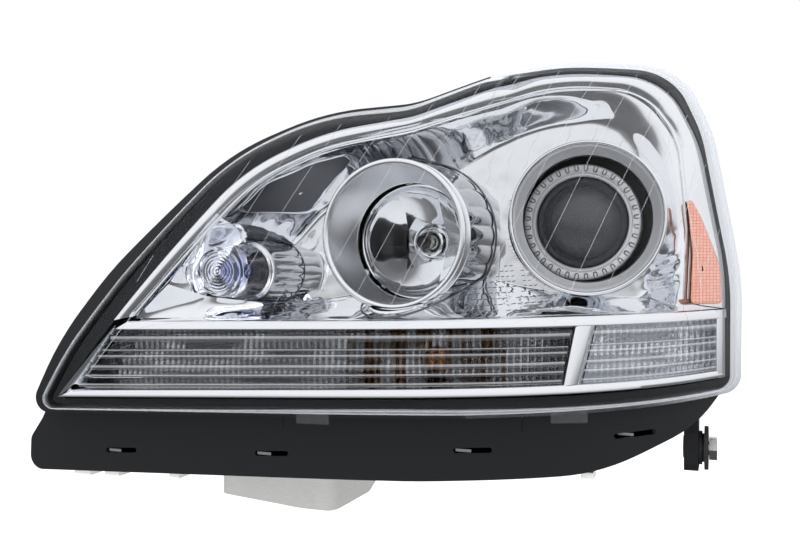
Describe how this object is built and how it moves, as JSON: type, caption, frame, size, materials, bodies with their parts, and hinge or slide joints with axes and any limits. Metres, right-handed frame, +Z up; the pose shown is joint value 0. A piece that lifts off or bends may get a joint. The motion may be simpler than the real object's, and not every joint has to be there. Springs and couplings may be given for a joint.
{
  "type": "car headlight",
  "caption": "Left-hand car headlight with a projector low beam, a ringed high-beam reflector, signal lamps, a clear lens, a black casing and a levelling carrier.",
  "frame": {"origin": "mouth of the bore in the outboard mounting bush", "axes": "+X outboard, away from the car; +Y rearwards into the car, so the lamp shines along -Y; +Z up"},
  "size_m": [0.5582, 0.3296, 0.3658],
  "materials": {
    "black_casing": "fine grain",
    "clear_lens": "polished clear polycarbonate",
    "chromed_trim": "vacuum metallised plastic",
    "satin_trim": "satin metallised plastic",
    "clear_optic": "moulded clear optic",
    "blue_glass": "blue tinted bulb glass",
    "amber_glass": "amber bulb glass",
    "amber_reflex": "amber reflex plastic",
    "lamp_glass": "clear glass",
    "die_cast": "die cast",
    "can": "pressed, satin",
    "spring_steel": "bright wire",
    "zinc_steel": "zinc plated",
    "black_polymer": "moulded",
    "grey_polymer": "moulded",
    "white_polymer": "moulded",
    "potting": "potting compound",
    "rubber_black": "moulded rubber",
    "sealant": "soft sealant"
  },
  "bodies": {
    "casing": {"rear_housing": "black_casing", "lens_cover": "clear_lens", "lens_seal": "sealant", "bezel": "chromed_trim", "high_beam_trim_ring": "chromed_trim", "projector_trim_sleeve": "satin_trim", "position_lamp_barrel": "chromed_trim", "position_lamp_reflector": "chromed_trim", "position_lamp_tube": "clear_optic", "turn_signal_optic": "clear_optic", "turn_signal_reflector": "chromed_trim", "corner_lamp_optic": "clear_optic", "corner_lamp_reflector": "chromed_trim", "side_reflector": "amber_reflex", "levelling_motor": "black_polymer", "xenon_ballast": "can", "ballast_electronics": "potting", "ballast_connector": "black_polymer", "ballast_screws": "zinc_steel", "mounting_grommet": "rubber_black", "mounting_bush": "zinc_steel", "main_connector": "black_polymer", "vent_caps": "rubber_black", "chin_clips": "zinc_steel", "bumper_clips": "white_polymer"},
    "pivot": {"pivot_ball": "white_polymer"},
    "carrier": {"carrier_frame": "black_polymer", "high_beam_reflector": "chromed_trim", "high_beam_bulb": "lamp_glass", "bulb_clip_lugs": "zinc_steel", "projector_lens": "lamp_glass", "projector_lens_ring": "die_cast", "projector_housing": "die_cast", "projector_reflector": "chromed_trim", "shutter_pin": "zinc_steel", "shutter_solenoid": "zinc_steel", "xenon_bulb": "lamp_glass", "xenon_igniter": "zinc_steel", "module_screws": "zinc_steel"},
    "bulb_clip": {"high_beam_bulb_clip": "spring_steel"},
    "shutter": {"shutter_flap": "zinc_steel"},
    "levelling_rod": {"levelling_spindle": "white_polymer"},
    "lateral_slide": {"lateral_adjuster_slider": "white_polymer"},
    "lateral_screw": {"lateral_adjuster_screw": "white_polymer"},
    "high_beam_cap": {"high_beam_service_cap": "black_polymer", "high_beam_cap_seal": "rubber_black"},
    "xenon_cap": {"xenon_service_cap": "black_polymer", "xenon_cap_seal": "rubber_black"},
    "position_holder": {"position_bulb_holder": "black_polymer", "position_bulb": "blue_glass"},
    "turn_holder": {"turn_signal_bulb_holder": "grey_polymer", "turn_signal_bulb": "amber_glass"},
    "corner_holder": {"corner_bulb_holder": "grey_polymer", "corner_bulb": "amber_glass"}
  },
  "joints": [
    {"name": "lateral_aim", "type": "hinge", "parent": "casing", "child": "pivot", "pos_m": [-0.204, 0.005, 0.127], "axis": [0, 0, 1], "range_deg": [-2, 2]},
    {"name": "levelling_tilt", "type": "hinge", "parent": "pivot", "child": "carrier", "pos_m": [-0.204, 0.005, 0.127], "axis": [1, 0, 0], "range_deg": [-2.5, 2.5]},
    {"name": "levelling_slide", "type": "slide", "parent": "casing", "child": "levelling_rod", "axis": [0, 1, 0], "range_m": [-0.0047, 0.0047]},
    {"name": "lateral_travel", "type": "slide", "parent": "casing", "child": "lateral_slide", "axis": [0, 1, 0], "range_m": [-0.006, 0.006]},
    {"name": "lateral_screw_turn", "type": "hinge", "parent": "casing", "child": "lateral_screw", "pos_m": [-0.039, 0.1, 0.127], "axis": [0, 1, 0], "range_deg": [-540, 540]},
    {"name": "shutter_swing", "type": "hinge", "parent": "carrier", "child": "shutter", "pos_m": [-0.104, 0.0115, 0.157], "axis": [1, 0, 0], "range_deg": [0, 55], "stiffness_Nm_per_rad": 0.03, "springref_deg": -17.19},
    {"name": "bulb_clip_swing", "type": "hinge", "parent": "carrier", "child": "bulb_clip", "pos_m": [-0.23, -0.0248, 0.1485], "axis": [-1, 0, 0], "range_deg": [0, 60]},
    {"name": "high_beam_cap_turn", "type": "hinge", "parent": "casing", "child": "high_beam_cap", "pos_m": [-0.23, 0.05, 0.1675], "axis": [0, 1, 0], "range_deg": [0, 30]},
    {"name": "xenon_cap_turn", "type": "hinge", "parent": "casing", "child": "xenon_cap", "pos_m": [-0.104, 0.11, 0.183], "axis": [0, 1, 0], "range_deg": [0, 30]},
    {"name": "position_holder_turn", "type": "hinge", "parent": "casing", "child": "position_holder", "pos_m": [-0.369, -0.05, 0.143], "axis": [0, 1, 0], "range_deg": [0, 45]},
    {"name": "turn_holder_turn", "type": "hinge", "parent": "casing", "child": "turn_holder", "pos_m": [-0.199, -0.03, 0.077], "axis": [0, 1, 0], "range_deg": [0, 45]},
    {"name": "corner_holder_turn", "type": "hinge", "parent": "casing", "child": "corner_holder", "pos_m": [-0.053, 0.04, 0.08], "axis": [0, 1, 0], "range_deg": [0, 45]}
  ],
  "couplings": [
    {"joint": "levelling_slide", "follows": "levelling_tilt", "m_per_rad": -0.105},
    {"joint": "lateral_travel", "follows": "lateral_aim", "m_per_rad": 0.165},
    {"joint": "lateral_screw_turn", "follows": "lateral_aim", "ratio": 259.18}
  ]
}
